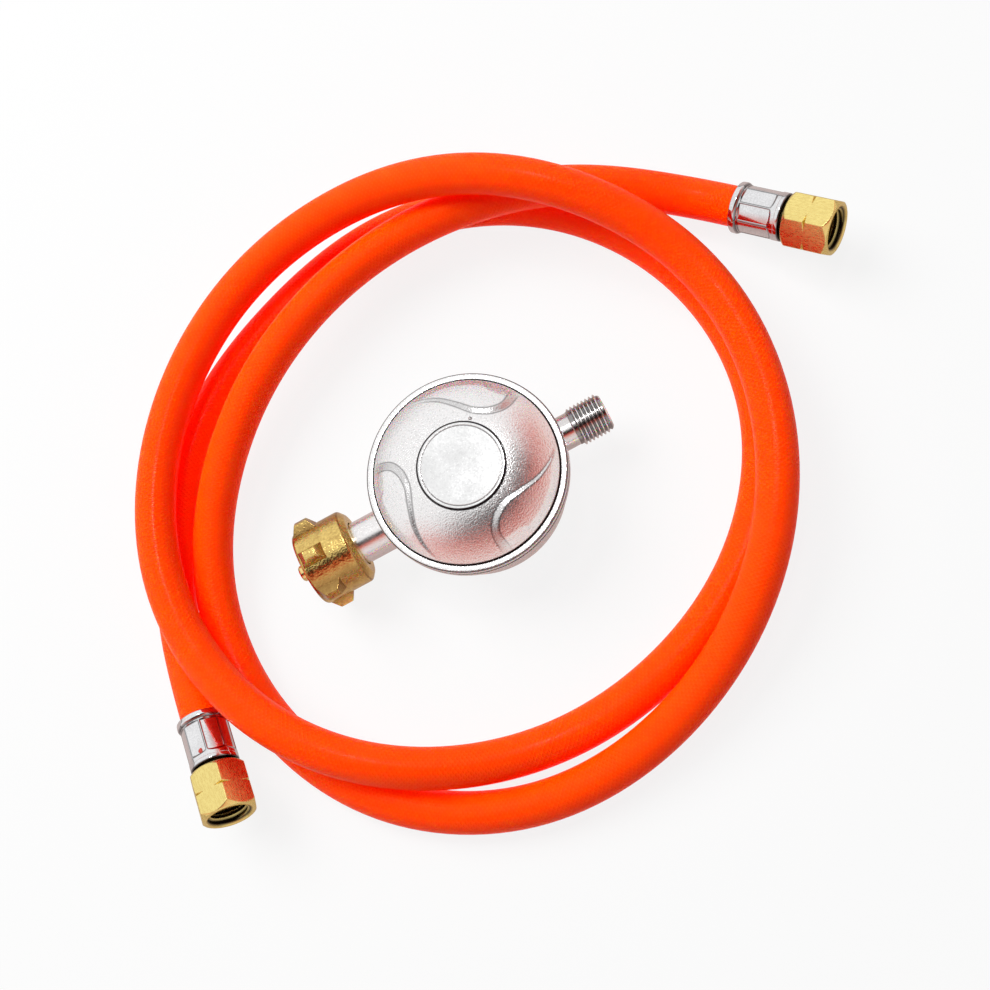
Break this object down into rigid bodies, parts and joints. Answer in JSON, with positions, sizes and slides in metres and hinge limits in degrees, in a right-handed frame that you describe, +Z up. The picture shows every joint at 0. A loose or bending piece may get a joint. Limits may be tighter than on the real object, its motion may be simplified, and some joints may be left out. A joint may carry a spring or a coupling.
{
  "type": "propane regulator hose",
  "caption": "Low-pressure propane regulator with a cylinder handwheel and threaded outlet, and a coiled reinforced hose with crimped ferrules and union nuts.",
  "frame": {"origin": "centre of the regulator's flat foot, on the surface it stands on", "axes": "+X along the outlet, +Z up from the foot through the dome, the inlet and its handwheel along -X"},
  "size_m": [0.2696, 0.2141, 0.0435],
  "materials": {
    "zinc_casting": "die-cast zinc under a satin silver lacquer",
    "satin_lacquer": "satin silver lacquer with a fine metallic grain",
    "cap_silver": "smooth silver disc, faintly brushed",
    "spring_steel": "drawn spring wire",
    "plated_steel": "zinc-plated pressed steel",
    "black_rubber": "moulded nitrile rubber",
    "machined_brass": "turned brass",
    "cast_brass": "hot-pressed brass with a rough skin and worn edges",
    "brushed_brass": "brushed pale brass",
    "sintered_bronze": "sintered bronze grains",
    "nickel_plate": "dull nickel plate",
    "bright_chrome": "bright plated steel, crimped",
    "orange_hose": "satin orange cover over a woven reinforcement"
  },
  "bodies": {
    "regulator": {"lower_body": "zinc_casting", "upper_cover": "satin_lacquer", "label_cap": "cap_silver", "adjusting_screw": "machined_brass", "main_spring": "spring_steel", "diaphragm": "black_rubber", "lever_pin": "plated_steel", "inlet_nozzle": "machined_brass", "inlet_filter": "sintered_bronze", "inlet_stem": "machined_brass", "inlet_seal": "black_rubber", "outlet_nipple": "nickel_plate"},
    "diaphragm_stack": {"diaphragm_plate": "plated_steel", "diaphragm_washer": "plated_steel", "diaphragm_rivet": "machined_brass"},
    "lever_arm": {"lever": "plated_steel"},
    "valve": {"valve_carrier": "machined_brass", "valve_pad": "black_rubber"},
    "inlet_handwheel": {"handwheel": "cast_brass"},
    "hose_line": {"hose": "orange_hose", "ferrule_a": "bright_chrome", "ferrule_b": "bright_chrome", "hose_tail_a": "machined_brass", "hose_tail_b": "machined_brass"},
    "nut_a": {"union_nut_a": "brushed_brass"},
    "nut_b": {"union_nut_b": "brushed_brass"}
  },
  "joints": [
    {"name": "diaphragm_travel", "type": "slide", "parent": "regulator", "child": "diaphragm_stack", "axis": [0, 0, 1], "range_m": [0, 0.002], "stiffness_N_per_m": 600, "deforming": ["main_spring", "diaphragm"]},
    {"name": "lever_swing", "type": "hinge", "parent": "regulator", "child": "lever_arm", "pos_m": [-0.016, 0, 0.0115], "axis": [0, -1, 0], "range_deg": [0, 7.2]},
    {"name": "valve_stroke", "type": "slide", "parent": "regulator", "child": "valve", "axis": [-1, 0, 0], "range_m": [0, 0.00063]},
    {"name": "handwheel_turn", "type": "hinge", "parent": "regulator", "child": "inlet_handwheel", "pos_m": [-0.045, 0, 0.0165], "axis": [-1, 0, 0], "continuous": true},
    {"name": "hose_lift", "type": "slide", "parent": "regulator", "child": "hose_line", "axis": [0, 0, 1], "range_m": [0, 0.06]},
    {"name": "nut_a_turn", "type": "hinge", "parent": "hose_line", "child": "nut_a", "pos_m": [0.12919, 0.02634, 0.01689], "axis": [0.6198, -0.7518, 0.225], "continuous": true},
    {"name": "nut_b_turn", "type": "hinge", "parent": "hose_line", "child": "nut_b", "pos_m": [-0.11406, -0.04509, 0.01689], "axis": [-0.034, -0.9738, 0.225], "continuous": true}
  ],
  "couplings": [
    {"joint": "lever_swing", "follows": "diaphragm_travel", "rad_per_m": 62.5},
    {"joint": "valve_stroke", "follows": "diaphragm_travel", "ratio": 0.3125}
  ]
}
